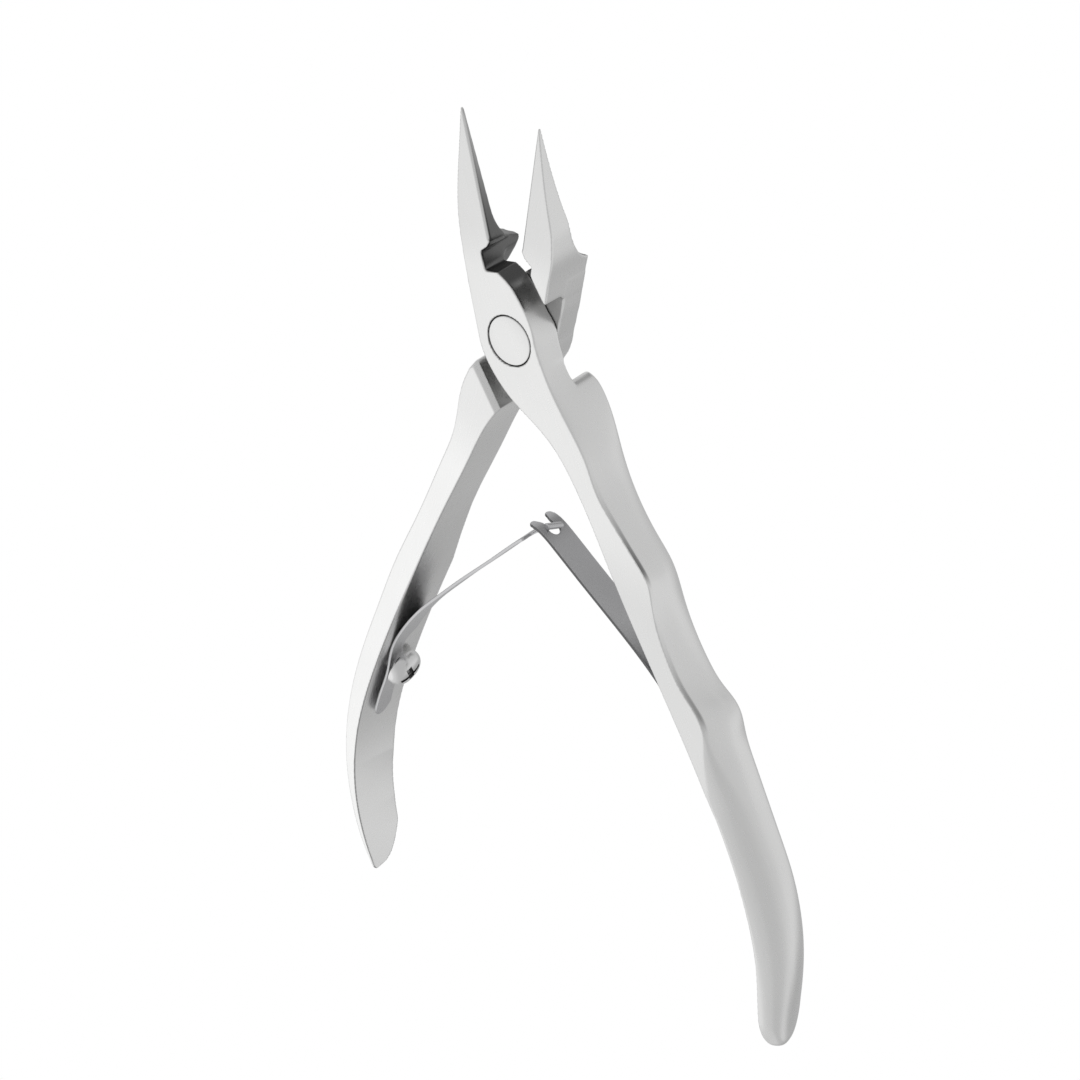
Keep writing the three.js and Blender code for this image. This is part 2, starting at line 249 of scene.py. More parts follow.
# ---------------------------------------------------------------- curves and fields
def spline(points):
    """A natural cubic through (x, value) points, as a function of an array."""
    x = np.array([p[0] for p in points], float)
    v = np.array([p[1] for p in points], float)
    n = len(x)
    h = np.diff(x)
    matrix = np.eye(n)
    right = np.zeros(n)
    for i in range(1, n - 1):
        matrix[i, i - 1:i + 2] = [h[i - 1], 2 * (h[i - 1] + h[i]), h[i]]
        right[i] = 6 * ((v[i + 1] - v[i]) / h[i] - (v[i] - v[i - 1]) / h[i - 1])
    bend = np.linalg.solve(matrix, right)

    def value(at):
        at = np.asarray(at, float)
        i = np.clip(np.searchsorted(x, at) - 1, 0, n - 2)
        a = (x[i + 1] - at) / h[i]
        b = (at - x[i]) / h[i]
        curve = a * v[i] + b * v[i + 1]
        return curve + ((a ** 3 - a) * bend[i] + (b ** 3 - b) * bend[i + 1]) * h[i] ** 2 / 6
    return value


def smoothstep(value, low, high):
    t = np.clip((value - low) / (high - low), 0, 1)
    return t * t * (3 - 2 * t)


def below(value, full, none):
    """One up to full, falling to nothing at none."""
    return smoothstep(-value, -none, -full)


def near(value, centre, full, none):
    """One within full of the centre, falling to nothing at none."""
    return below(np.abs(value - centre), full, none)


def both(a, b, rounding):
    """Inside a and b, with the shared edge rounded."""
    shared = np.maximum(rounding - np.abs(a - b), 0)
    return np.maximum(a, b) + shared * shared / (4 * rounding)


def cut(a, b, rounding):
    return both(a, -b, rounding)


def join(a, b, rounding):
    return -both(-a, -b, rounding)


def polygon(points, x, y):
    """Signed distance, negative inside, from a closed outline."""
    nearest = np.full(np.broadcast(x, y).shape, 1e9, np.float32)
    inside = np.zeros(nearest.shape, bool)
    for (ax, ay), (bx, by) in zip(points, points[1:] + points[:1]):
        dx, dy = bx - ax, by - ay
        t = np.clip(((x - ax) * dx + (y - ay) * dy) / (dx * dx + dy * dy + 1e-12), 0, 1)
        nearest = np.minimum(nearest, (x - ax - t * dx) ** 2 + (y - ay - t * dy) ** 2)
        if ay != by:
            crosses = ((ay > y) != (by > y)) & (x < (bx - ax) * (y - ay) / (by - ay) + ax)
            inside ^= crosses
    distance = np.sqrt(nearest)
    return np.where(inside, -distance, distance).astype(np.float32)


def grid_axes(low, high, voxel):
    ranges = [np.arange(l, h + step, step, dtype=np.float32) for l, h, step in zip(low, high, voxel)]
    return np.meshgrid(*ranges, indexing="ij", sparse=True)


def signed_volume(points, quads):
    a, b, c, d = (points[quads[:, i]] for i in range(4))
    return float(np.sum(np.cross(b - a, c - a) * a) + np.sum(np.cross(c - a, d - a) * a))


def mesh_from_field(name, field, low, voxel, place):
    """The field's zero surface as a mesh object; place moves its millimetre points into the frame."""
    limit = 3 * max(voxel)
    grid = vdb.FloatGrid(limit)
    grid.copyFromArray(np.clip(field, -limit, limit).astype(np.float32))
    points, quads = grid.convertToQuads(0.0)
    points = place(np.asarray(points, float) * np.array(voxel) + np.array(low)) * MM
    quads = np.asarray(quads, np.int32)
    mesh = bpy.data.meshes.new(name)
    mesh.vertices.add(len(points))
    mesh.vertices.foreach_set("co", points.astype(np.float32).ravel())
    mesh.loops.add(quads.size)
    mesh.loops.foreach_set("vertex_index", quads.ravel())
    mesh.polygons.add(len(quads))
    mesh.polygons.foreach_set("loop_start", np.arange(0, quads.size, 4, dtype=np.int32))
    mesh.update(calc_edges=True)
    mesh.validate()
    if signed_volume(points, quads) < 0:
        mesh.flip_normals()
    mesh.polygons.foreach_set("use_smooth", np.ones(len(mesh.polygons), bool))
    return stand(name, mesh)


def stand(name, data):
    thing = bpy.data.objects.new(name, data)
    bpy.context.scene.collection.objects.link(thing)
    return thing


# ---------------------------------------------------------------- shade
# Painted shade, as a vertex value: 0 leaves the steel as it is, and 1 darkens it to SHADED times its
# colour.
def points_and_normals(piece):
    """Vertex places in millimetres, and vertex normals."""
    count = len(piece.data.vertices)
    points, normals = np.empty(count * 3), np.empty(count * 3)
    piece.data.vertices.foreach_get("co", points)
    piece.data.vertices.foreach_get("normal", normals)
    return points.reshape(-1, 3) / MM, normals.reshape(-1, 3)


def set_shade(piece, shade):
    layer = piece.data.attributes.new("shade", "FLOAT", "POINT")
    layer.data.foreach_set("value", shade.astype(np.float32))


# ---------------------------------------------------------------- levers
def handle_edges(handle):
    return tuple(spline(handle[key]) for key in ("inner", "front", "back"))


def end_line(handle, z):
    """How far down the handle reaches at each depth: a rounded end, longest part-way through."""
    lowest, deepest, front_rise, back_rise, power = handle["end"]
    toward_front = np.clip((z - deepest) / (DEPTH - deepest), 0, None) ** power
    toward_back = np.clip((deepest - z) / deepest, 0, None) ** power
    return lowest + front_rise * toward_front + back_rise * toward_back


def crested(share):
    """One soft ridge part-way through: falling gently to the back, straight from it to the strip."""
    behind = 1 - ((CREST - np.minimum(share, CREST)) / CREST) ** 2
    ahead = (np.maximum(share, CREST) - CREST) / (1 - CREST)
    full_drop = 0.82
    return behind - (np.sqrt(ahead ** 2 + CREST_ROUND ** 2) - CREST_ROUND) / full_drop


def crease_reach(y, at):
    """A crease's strength along the handle: it stops short at its lower end and fades to the joint."""
    return np.exp(-(np.where(y > at, (y - at) / CREASE_LENGTH, (y - at) / CREASE_STOP)) ** 2)


def handle_face(handle, across, line, share):
    """Signed distance from the flat inner face, which leans by the handle's draft."""
    inner = handle_edges(handle)[0]
    step = 0.05
    slope = (inner(line + step) - inner(line - step)) / (2 * step)
    draft_at, draft_by = zip(*handle["draft"])
    draft = np.interp(line, draft_at, draft_by)[None, :, None] * (1 - share)
    return (across - inner(line)[None, :, None] - draft) / np.sqrt(1 + slope ** 2)[None, :, None]


def handle_outer(handle, across, line, share, z):
    """Signed distance from the outer side: a blend of its two edges, pushed out by the ridge."""
    _, front, back = handle_edges(handle)
    at_end = RIDGE_AT_END + (1 - RIDGE_AT_END) * smoothstep(line, handle["end"][0], RIDGE_LESS_FROM)
    grow = (below(line, RIDGE_FULL, RIDGE_FROM) * at_end)[None, :, None]
    profile = np.sin(np.pi * share ** SWELL_POWER) if handle is PLAIN else crested(share)
    swell = handle["ridge"] * grow * profile
    for at, deep, _ in handle["creases"]:
        beside_strip = np.exp(-((share - CREASE_DEPTH_SHARE) / CREASE_WIDTH_SHARE) ** 2)
        swell = swell - deep * crease_reach(line, at)[None, :, None] * beside_strip
    lip = (1 - LIP_SHARE) * share + LIP_SHARE * share ** LIP_POWER
    side = back(line)[None, :, None] * (1 - lip) + front(line)[None, :, None] * lip - swell
    lean = np.gradient(side[0], line, axis=0)[None]
    tilt = np.gradient(side[0], z[0, 0, :], axis=1)[None]
    return (side - across) / np.sqrt(1 + lean ** 2 + tilt ** 2)


def handle_field(handle, turning, other_slab, across, y, z):
    """The handle below the joint, clear of the space that the other lever turns in."""
    line = y[0, :, 0]
    share = np.clip(z / DEPTH, 0, 1)
    outer = handle_outer(handle, across, line, share, z)
    face = handle_face(handle, across, line, share)
    strip_edge = PLAIN_EDGE + handle["strip_fade"] * smoothstep(-line, *STRIP_FADES)[None, :, None]
    beside_wall = both(outer, -turning, handle["wall_round"])
    field = np.minimum(beside_wall, both(outer, -other_slab, PLAIN_EDGE))
    field = both(field, -z, handle["back_round"])
    field = both(field, z - DEPTH, strip_edge)
    field = both(field, face, FACE_EDGE)
    field = both(field, -np.maximum(turning, other_slab), CARVED_EDGE)
    end = end_line(handle, z)
    drop = np.gradient(end[0, 0], z[0, 0, :])[None, None]
    end_slope = np.sqrt(1 + np.minimum(np.abs(drop), 3) ** 2)
    field = both(field, (end - y) / end_slope, handle["end_round"])
    return both(field, y, SOFT_EDGE)


def jaw_field(handle, room, across, y, z):
    """The jaw: flat front and inner faces, and a back facet that sweeps out to full depth at its base."""
    outer = spline(handle["outer_jaw"])
    side = (across - outer(y[0, :, 0])[None, :, None]) * JAW_SIDE_LEAN
    depth = JAW_TIP_DEPTH + FACET_ALONG * (JAW_TIP_Y - y) + FACET_ACROSS * np.maximum(across, 0)
    facet = (DEPTH - depth - z) * FACET_LEAN
    back = np.maximum(join(facet, y - FACET_STEP_Y, FACET_STEP_ROUND), -z)
    field = both(both(back, -room, JAW_ROOM_ROUND), side, PLAIN_EDGE)
    field = both(field, z - DEPTH, PLAIN_EDGE)
    field = both(field, -across, CUTTING_EDGE)
    bevel = (z - DEPTH - across + JAW_BEVEL) * DIAGONAL
    field = both(field, np.where(y > BEVEL_FROM_Y, bevel, -1.0), KEEN_EDGE)
    return both(both(field, y - JAW_TIP_Y, CRISP_EDGE), JAW_BASE_Y - y, CRISP_EDGE)


def wall_field(handle, across, y):
    """Negative where the other lever's half of the joint turns."""
    distance, angle = handle["wall"]
    straight = across * math.cos(angle) + y * math.sin(angle) - distance
    around = np.sqrt(across ** 2 + y ** 2) - handle["shoulder"]
    return np.minimum(straight, around)


def turning_field(handle, outer_skin, across, y):
    """The wall's field with a chamfer where it meets the lever's outer face."""
    wall = wall_field(handle, across, y)
    chamfer = (wall + outer_skin - WALL_CHAMFER) * DIAGONAL
    return np.minimum(wall, np.where(outer_skin < CHAMFER_ZONE, chamfer, wall))


def hub_field(handle, own_front, own_slab, across, y, z):
    """This lever's half of the hub; the front one leans a little outwards to the back."""
    edge = spline(BOSS_EDGE)
    rounded = [(float(edge(at)), at) for at in BOSS_EDGE_Y]
    outline = BOSS_TOP + rounded + handle["boss_side"]
    boss = polygon(outline, across[:, :, 0], y[:, :, 0])[:, :, None]
    if own_front:
        boss = boss - HUB_DRAFT * (DEPTH - z) * below(y, 0.5, 3.5) * below(across, -2, 0)
    return both(boss, own_slab, PLAIN_EDGE)


def lever_field(handle, own_front, across, y, z):
    """Handle, hub and jaw joined, with the throat and the rivet's hole cut out."""
    low, high = (MID + LAP_GAP / 2, DEPTH) if own_front else (0.0, MID - LAP_GAP / 2)
    own_slab = np.maximum(low - z, z - high)
    other_slab = (z - low) if own_front else (high - z)
    outer_skin = z if own_front else DEPTH - z
    throat, room = (polygon(outline, across[:, :, 0], y[:, :, 0])[:, :, None]
                    for outline in (THROAT, JAW_ROOM))
    jaw = jaw_field(handle, both(room, other_slab, ROOM_ROUND), across, y, z)
    jaw = cut(jaw, throat, FACE_EDGE)
    turning = turning_field(handle, outer_skin, across, y)
    arm = handle_field(handle, np.minimum(turning, room), other_slab, across, y, z)
    hub = hub_field(handle, own_front, own_slab, across, y, z)
    field = join(join(arm, hub, PLAIN_EDGE), jaw, KEEN_EDGE)
    hole = RIVET_HOLE if own_front else SHANK_HOLE
    return cut(field, np.sqrt(across ** 2 + y ** 2) - hole, CRISP_EDGE)


def face_place(handle, mirror, turn, y):
    """A spot on a handle's inner face at rest, and the way off the face, in the frame's plan."""
    inner = handle_edges(handle)[0]
    spot = Vector((float(inner(y)) * mirror, y))
    along = (Vector((float(inner(y + 0.5)) * mirror, y + 0.5)) - spot).normalized()
    inward = Vector((along.y * mirror, -along.x * mirror))
    spin = Matrix.Rotation(turn, 2)
    return spin @ spot, spin @ inward


def screw_height(handle):
    """The y on the inner face that lies SCREW_REACH from the pivot."""
    inner = handle_edges(handle)[0]
    y = -SCREW_REACH
    for _ in range(8):
        y = -math.sqrt(SCREW_REACH ** 2 - float(inner(y)) ** 2)
    return y


def screw_bore(handle, mirror, across, y, z):
    """The blind hole for the screw's shank, in the lever's own plan."""
    spot, inward = face_place(handle, mirror, 0.0, screw_height(handle))
    off_x = across - spot.x * mirror
    off_y = y - spot.y
    along = -off_x * inward.y + off_y * inward.x * mirror
    hole = np.sqrt(along ** 2 + (z - MID) ** 2) - SCREW_HOLE
    deep = np.abs(off_x * inward.x * mirror + off_y * inward.y) - SCREW_DEPTH
    return np.maximum(hole, deep)


def lever(name, handle, mirror, own_front, turn):
    """One lever's mesh, with painted shade, turned to its place at rest."""
    outermost = min(edge[1] for edge in handle["front"])
    low = (outermost - 2.6, handle["end"][0] - 1, -GRID_MARGIN)
    high = (5.8, JAW_TIP_Y + 0.8, DEPTH + GRID_MARGIN)
    across, y, z = grid_axes(low, high, LEVER_VOXEL)
    shape = (across.size, y.size, z.size)
    field = np.broadcast_to(lever_field(handle, own_front, across + 0 * y, y + 0 * across, z), shape)
    field = cut(field, screw_bore(handle, mirror, across, y, z), CRISP_EDGE)

    def place(points):
        x = points[:, 0] * mirror
        c, s = math.cos(turn), math.sin(turn)
        return np.column_stack([x * c - points[:, 1] * s, x * s + points[:, 1] * c, points[:, 2]])
    piece = mesh_from_field(name, field, low, LEVER_VOXEL, place)
    set_shade(piece, lever_shade(handle, mirror, turn, *points_and_normals(piece)))
    return piece


def lever_shade(handle, mirror, turn, points, normals):
    """Painted shade on a lever, darkening its colour. y and z are the lever's own. facing, upward and
    frontal say how far a spot looks to negative across, to the jaw's tip and to the front.
    """
    c, s = math.cos(turn), math.sin(turn)
    y = -points[:, 0] * s + points[:, 1] * c
    z = points[:, 2]
    facing = -(normals[:, 0] * c + normals[:, 1] * s) * mirror
    upward = -normals[:, 0] * s + normals[:, 1] * c
    frontal = normals[:, 2]
    # Painted shade: a dark ring on the wall of the rivet's hole, near the front
    hole_wall = below(np.hypot(points[:, 0], points[:, 1]), 3.46, 3.52) * smoothstep(z, 4, 5)
    shade = np.maximum(throat_shade(y, z, facing, upward), hole_wall)
    side_shade = front_lever_shade if handle is WAVY else rear_lever_shade
    return np.maximum(shade, side_shade(y, z, facing, frontal))


def throat_shade(y, z, facing, upward):
    """Painted shade on the jaw's inner face, the throat's walls, the joint's wall and the jaw's lobe
    above the throat.
    """
    inner_face = smoothstep(facing, 0.72, 0.92) * smoothstep(y, 1.0, 9.5)
    inner_face = inner_face * (1 - 0.45 * smoothstep(y, 15, 28))
    throat = near(y, 10.0, 3.0, 3.6) * smoothstep(np.abs(upward), 0.35, 0.65)
    throat = throat * smoothstep(facing, -0.5, 0.0)
    into_joint = -facing * 0.77 + upward * 0.63
    joint_wall = 0.75 * smoothstep(into_joint, 0.86, 0.97) * near(y, -6.5, 4.5, 5.5)
    lobe = smoothstep(facing, 0.05, 0.4) * near(y, 11.5, 3.2, 4.2) * below(z, 6.0, 6.6)
    return np.maximum.reduce([inner_face, throat, joint_wall, lobe])


def front_lever_shade(y, z, facing, frontal):
    """Painted shade: a darker jaw and lower strip, and a painted dark line along each crease."""
    flat = smoothstep(frontal, 0.8, 0.95)
    shade = np.maximum(FAINT_SHADE * smoothstep(y, 8, 16) * flat, FAINT_SHADE * flat * below(y, -36, -24))
    under_strip = smoothstep(z, 6.85, 7.05) * below(z, 7.45, 7.55)
    for at, _, dark in WAVY["creases"]:
        line = crease_reach(y, at) * under_strip
        shade = np.maximum(shade, dark * line * smoothstep(facing, 0.3, 0.6))
    return shade


def rear_lever_shade(y, z, facing, frontal):
    """Painted shade over all but the lower strip, which keeps its brighter colour as a painted highlight;
    a painted dark line along the strip's inner edge; painted shade on the floor of the joint.
    """
    flat = smoothstep(frontal, 0.8, 0.95)
    # Painted shade taking the brighter plain steel back to the wavy lever's grey, except on the lower
    # front strip
    shade = FAINT_SHADE * smoothstep(y, 8, 16) * flat + FAINT_SHADE * (1 - flat * below(y, -24, -12))
    strip_edge = 0.75 * smoothstep(frontal, 0.25, 0.45) * below(frontal, 0.8, 0.93)
    strip_edge = strip_edge * below(facing, -0.4, -0.2) * below(y, -60, -40)
    joint_floor = 0.55 * flat * below(z, 4.2, 4.6) * smoothstep(y, -3, 0)
    return np.maximum.reduce([shade, strip_edge, joint_floor])


# ---------------------------------------------------------------- leaf springs
def leaf_path(handle, mirror, turn, flight):
    """Centre line of a leaf at rest: its foot follows the handle, then it flies to its tip."""
    points = []
    for step in (-FOOT_LENGTH, -FOOT_LENGTH / 2, 0):
        spot, inward = face_place(handle, mirror, turn, screw_height(handle) + step)
        points.append(spot + inward * (handle["leaf_gap"] + LEAF_THICK / 2))
    points += [Vector(p) for p in flight]
    knots = np.concatenate([[0], np.cumsum([(b - a).length for a, b in zip(points, points[1:])])])
    track_x = spline(list(zip(knots, [p.x for p in points])))
    track_y = spline(list(zip(knots, [p.y for p in points])))
    fine = np.linspace(0, knots[-1], 1200)
    x, y = track_x(fine), track_y(fine)
    reach = np.concatenate([[0], np.cumsum(np.hypot(np.diff(x), np.diff(y)))])
    return reach, x, y


def onto_path(path, points):
    """Moves (length along the leaf, height off it, z) points onto the bent leaf, past its ends too."""
    reach, x, y = path
    dx, dy = np.gradient(x, reach), np.gradient(y, reach)
    s = np.clip(points[:, 0], 0, reach[-1])
    over = points[:, 0] - s
    px, py = np.interp(s, reach, x), np.interp(s, reach, y)
    tx, ty = np.interp(s, reach, dx), np.interp(s, reach, dy)
    size = np.hypot(tx, ty)
    tx, ty = tx / size, ty / size
    off = points[:, 1]
    return np.column_stack([px + tx * over - ty * off, py + ty * over + tx * off, points[:, 2]])


def leaf_strip(along, z, length):
    """The strip's outline, with a round foot and a screw hole."""
    half = LEAF_WIDTH / 2
    plan = both(np.abs(z - MID) - half, along - length, LEAF_CORNER)
    foot = np.sqrt(np.minimum(along - half, 0) ** 2 + (z - MID) ** 2) - half
    plan = np.maximum(plan, foot)
    hole = np.sqrt((along - FOOT_LENGTH) ** 2 + (z - MID) ** 2) - SCREW_HOLE
    return np.maximum(plan, -hole)


def leaf_grid(length):
    low = (-0.6, -1.2, MID - LEAF_WIDTH / 2 - 0.5)
    high = (length + 0.8, 1.2, MID + LEAF_WIDTH / 2 + 0.5)
    return low, grid_axes(low, high, FINE_VOXEL)


def fork_slot(along, z, length):
    """The open slot, flared at its mouth, and the round eye at its foot."""
    eye_at = length - EYE_REACH
    eye = np.sqrt((along - eye_at) ** 2 + (z - MID) ** 2) - EYE_RADIUS
    mouth = SLOT_HALF + SLOT_FLARE * smoothstep(along, length - SLOT_FLARE_LENGTH, length)
    slot = np.maximum(np.abs(z - MID) - mouth, eye_at - along)
    return np.minimum(eye, slot)


def fork_prongs(along, z, length):
    """A round end for each prong; away from the tip it cuts nothing."""
    past = np.maximum(along - length + PRONG_ROUND, 0)
    rounded = np.sqrt(past ** 2 + (np.abs(z - MID) - PRONG_MIDDLE) ** 2) - PRONG_ROUND
    return np.where(along > length - PRONG_FROM, rounded, -LEAF_WIDTH)


def fork_leaf():
    """The fork spring's leaf, with its slot and its two prongs."""
    path = leaf_path(WAVY, -1, HALF_OPENING, FORK_FLIGHT)
    length = path[0][-1]
    low, (along, off, z) = leaf_grid(length)
    plan = cut(leaf_strip(along, z, length), fork_slot(along, z, length), SOFT_EDGE)
    plan = both(plan, fork_prongs(along, z, length), SOFT_EDGE)
    field = both(plan, np.abs(off) - LEAF_THICK / 2, LEAF_EDGE)
    piece = mesh_from_field("fork_spring_leaf", field, low, FINE_VOXEL, lambda p: onto_path(path, p))
    set_shade(piece, fork_shade(*points_and_normals(piece)))
    return piece


def fork_shade(points, normals):
    """Darker narrow edges, and painted shade at the root, which looks into the handle."""
    y = points[:, 1]
    edges = 0.95 * smoothstep(np.abs(normals[:, 2]), 0.5, 0.8) * smoothstep(y, -64, -56)
    return np.maximum(edges, 0.75 * below(y, -44, -37))


def tongue_leaf():
    """The tongue spring's leaf, with its neck and the bar across its end."""
    path = leaf_path(PLAIN, 1, -HALF_OPENING, TONGUE_FLIGHT)
    length = path[0][-1] - NECK_LENGTH
    low, (along, off, z) = leaf_grid(length + NECK_LENGTH)
    half_neck = NECK_LENGTH / 2
    neck = np.maximum(np.abs(z - MID) - NECK_HALF, np.abs(along - length - half_neck) - half_neck)
    plan = join(leaf_strip(along, z, length), neck, LEAF_CORNER)
    field = both(plan, np.abs(off) - LEAF_THICK / 2, LEAF_EDGE)
    bar = np.sqrt((along - length - NECK_LENGTH) ** 2 + (off - BAR_SLANT * (z - MID)) ** 2) - BAR_RADIUS
    bar = np.maximum(bar, np.abs(z - MID) - BAR_HALF)
    field = join(field, bar, PLAIN_EDGE)

    def place(points):
        laid = 1 - smoothstep(points[:, 0], FOOT_LENGTH, FOOT_LENGTH + FACE_DRAFT_FADE)
        points[:, 1] += FACE_DRAFT * (MID - points[:, 2]) * laid
        return onto_path(path, points)
    return mesh_from_field("tongue_spring_leaf", field, low, FINE_VOXEL, place)


# ---------------------------------------------------------------- screws and rivet
def screw_field(head, tall, seat, a, b, h):
    """A domed head on a plain shank, with a cross recess; h runs off the handle's face."""
    radius = np.sqrt(a ** 2 + b ** 2)
    up = np.maximum((h - seat) / tall, 0)
    dome = (((radius / head) ** DOME_POWER + up ** DOME_POWER) ** (1 / DOME_POWER) - 1) * tall
    top = both(dome, seat - h, PLAIN_EDGE)
    body = np.maximum(radius - SCREW_SHANK, np.maximum(h - seat - 0.5, seat - SCREW_LENGTH - h))
    field = join(top, body, CRISP_EDGE)
    floor = seat + tall * RECESS_FLOOR - h + radius * RECESS_SLOPE
    span = head * RECESS_SPAN
    one_arm = np.maximum(np.abs(a) - RECESS_HALF, np.abs(b) - span)
    other_arm = np.maximum(np.abs(b) - RECESS_HALF, np.abs(a) - span)
    return cut(field, np.maximum(np.minimum(one_arm, other_arm), floor), CRISP_EDGE)


def pan_screw(name, handle, mirror, turn, head, tall, raised, z_at):
    """Pan-head screw through a leaf's foot, with painted shade inside its recess."""
    seat = handle["leaf_gap"] + LEAF_THICK + raised
    low = (-SCREW_BOX, -SCREW_BOX, seat - SCREW_LENGTH - 0.3)
    high = (SCREW_BOX, SCREW_BOX, seat + tall + 0.3)
    field = screw_field(head, tall, seat, *grid_axes(low, high, FINE_VOXEL))
    spot, inward = face_place(handle, mirror, turn, screw_height(handle))
    cross = Vector((-inward.y, inward.x))
    recess_shade = []

    def place(p):
        c, s = math.cos(SCREW_TURN), math.sin(SCREW_TURN)
        u = p[:, 0] * c - p[:, 1] * s
        v = p[:, 0] * s + p[:, 1] * c
        up = np.maximum((p[:, 2] - seat) / tall, 0)
        under = 1 - ((np.hypot(p[:, 0], p[:, 1]) / head) ** DOME_POWER + up ** DOME_POWER)
        recess_shade.append(RECESS_SHADE * (smoothstep(under, 0.06, 0.2) * smoothstep(up, 0.2, 0.3)))
        return np.column_stack([spot.x + cross.x * u + inward.x * p[:, 2],
                                spot.y + cross.y * u + inward.y * p[:, 2], z_at + v])
    piece = mesh_from_field(name, field, low, FINE_VOXEL, place)
    set_shade(piece, recess_shade[0])
    return piece


def rivet_profile():
    """Half section as (radius, height), from the back head's centre to the front head's."""
    back, shank, cone = 2.8, 2.1, 1.4
    back_depth, front_depth = 0.4, 0.8
    return [(0, 0), (back - 0.12, 0), (back - 0.04, 0.04), (back, 0.12), (back, back_depth),
            (shank, back_depth + cone), (shank, DEPTH - front_depth - cone),
            (RIVET_HEAD, DEPTH - front_depth), (RIVET_HEAD, DEPTH - 0.14),
            (RIVET_HEAD - 0.04, DEPTH - 0.04), (RIVET_HEAD - 0.14, DEPTH), (0, DEPTH)]


def rivet_faces(rows):
    """Quads between the rings of points, and triangles from the outer rings to each head's centre."""
    top = 1 + (rows - 1) * RIVET_SIDES
    front_centre = top + RIVET_SIDES
    faces = []
    for i in range(RIVET_SIDES):
        after = (i + 1) % RIVET_SIDES
        faces.append((0, 1 + after, 1 + i))
        for row in range(rows - 1):
            a = 1 + row * RIVET_SIDES
            faces.append((a + i, a + after, a + RIVET_SIDES + after, a + RIVET_SIDES + i))
        faces.append((top + i, top + after, front_centre))
    return faces


def rivet():
    """Flush rivet turned from its profile, with a small radius round each head."""
    profile = rivet_profile()
    points = [(0, 0, 0)]
    for radius, height in profile[1:-1]:
        for i in range(RIVET_SIDES):
            turn = 2 * math.pi * i / RIVET_SIDES
            points.append((radius * math.cos(turn), radius * math.sin(turn), height))
    points.append((0, 0, DEPTH))
    mesh = bpy.data.meshes.new("rivet_pin")
    mesh.from_pydata([tuple(c * MM for c in p) for p in points], [], rivet_faces(len(profile) - 2))
    mesh.polygons.foreach_set("use_smooth", np.ones(len(mesh.polygons), bool))
    mesh.set_sharp_from_angle(angle=math.radians(50))
    return stand("rivet_pin", mesh)


# ---------------------------------------------------------------- materials
def noise(nodes, links, place, scale, detail):
    texture = nodes.new("ShaderNodeTexNoise")
    texture.inputs["Scale"].default_value = scale
    texture.inputs["Detail"].default_value = detail
    links.new(place, texture.inputs["Vector"])
    return texture.outputs[0]


def color_mix(nodes, links, share):
    mix = nodes.new("ShaderNodeMix")
    mix.data_type = "RGBA"
    links.new(share, mix.inputs[0])
    return mix


def steel_color(nodes, links, place, color):
    """Cloudy polish, darkened by the piece's painted shade where it has one."""
    cloud = noise(nodes, links, place, CLOUD_SCALE, 2.0)
    mottle = color_mix(nodes, links, cloud)
    mottle.inputs[6].default_value = (*[c * (1 - VARIATION) for c in color], 1)
    mottle.inputs[7].default_value = (*[min(1, c * (1 + VARIATION)) for c in color], 1)
    shade = nodes.new("ShaderNodeAttribute")
    shade.attribute_name = "shade"
    darker = color_mix(nodes, links, shade.outputs["Fac"])
    darker.inputs[7].default_value = (*[c * SHADED for c in color], 1)
    links.new(mottle.outputs[2], darker.inputs[6])
    return darker.outputs[2]


def steel_grain(nodes, links, place, angle):
    """Fine noise, stretched along the piece and turned with it."""
    grain_map = nodes.new("ShaderNodeMapping")
    grain_map.vector_type = "TEXTURE"
    grain_map.inputs["Rotation"].default_value[2] = angle
    grain_map.inputs["Scale"].default_value = (GRAIN_SIZE, GRAIN_SIZE * GRAIN_STRETCH, GRAIN_SIZE)
    links.new(place, grain_map.inputs[0])
    return noise(nodes, links, grain_map.outputs[0], 1.0, 3.0)


def steel(name, color, roughness, grain_angle=0.0):
    """Satin steel, with the grain in its roughness and its relief."""
    material = bpy.data.materials.new(name)
    material.use_nodes = True
    nodes, links = material.node_tree.nodes, material.node_tree.links
    nodes.clear()
    output = nodes.new("ShaderNodeOutputMaterial")
    shader = nodes.new("ShaderNodeBsdfPrincipled")
    shader.inputs["Metallic"].default_value = 1.0
    links.new(shader.outputs[0], output.inputs[0])
    place = nodes.new("ShaderNodeTexCoord").outputs["Object"]
    grain = steel_grain(nodes, links, place, grain_angle)
    links.new(steel_color(nodes, links, place, color), shader.inputs["Base Color"])
    shine = nodes.new("ShaderNodeMapRange")
    shine.inputs["To Min"].default_value = roughness - 0.05
    shine.inputs["To Max"].default_value = roughness + 0.07
    links.new(grain, shine.inputs[0])
    links.new(shine.outputs[0], shader.inputs["Roughness"])
    relief = nodes.new("ShaderNodeBump")
    relief.inputs["Strength"].default_value = GRAIN_BUMP
    relief.inputs["Distance"].default_value = GRAIN_RELIEF
    links.new(grain, relief.inputs["Height"])
    links.new(relief.outputs[0], shader.inputs["Normal"])
    return material


# ---------------------------------------------------------------- stage
# The softbox and the floor are in metres, and the camera's place in millimetres
SOFTBOX_TOWARD = (-0.555, -0.518, 0.65)
SOFTBOX_REACH = 0.9
SOFTBOX_SIZE = 0.9
SOFTBOX_POWER = 0.4

# What the steel sees: a base grey, then patches of (direction, inner and outer radius in degrees, grey)
BASE_GREY = 0.55
REFLECTED = [
    (SOFTBOX_TOWARD, 25, 75, 0.76),
    ((0.76, -0.01, -0.65), 12, 60, 0.66),
    ((0.62, -0.43, -0.65), 10, 40, 0.74),
    ((-0.75, 0.1, -0.65), 10, 40, 0.75),
    ((0.06, -0.757, -0.65), 10, 40, 0.42),
    ((0.25, 0.72, -0.65), 10, 34, 0.3),
    ((0.6, 0.38, -0.7), 8, 26, 0.64),
    ((-0.56, -0.52, -0.65), 15, 50, 0.5),
]
FLOOR_HALF = 3.0
FLOOR_LEVEL = -0.03

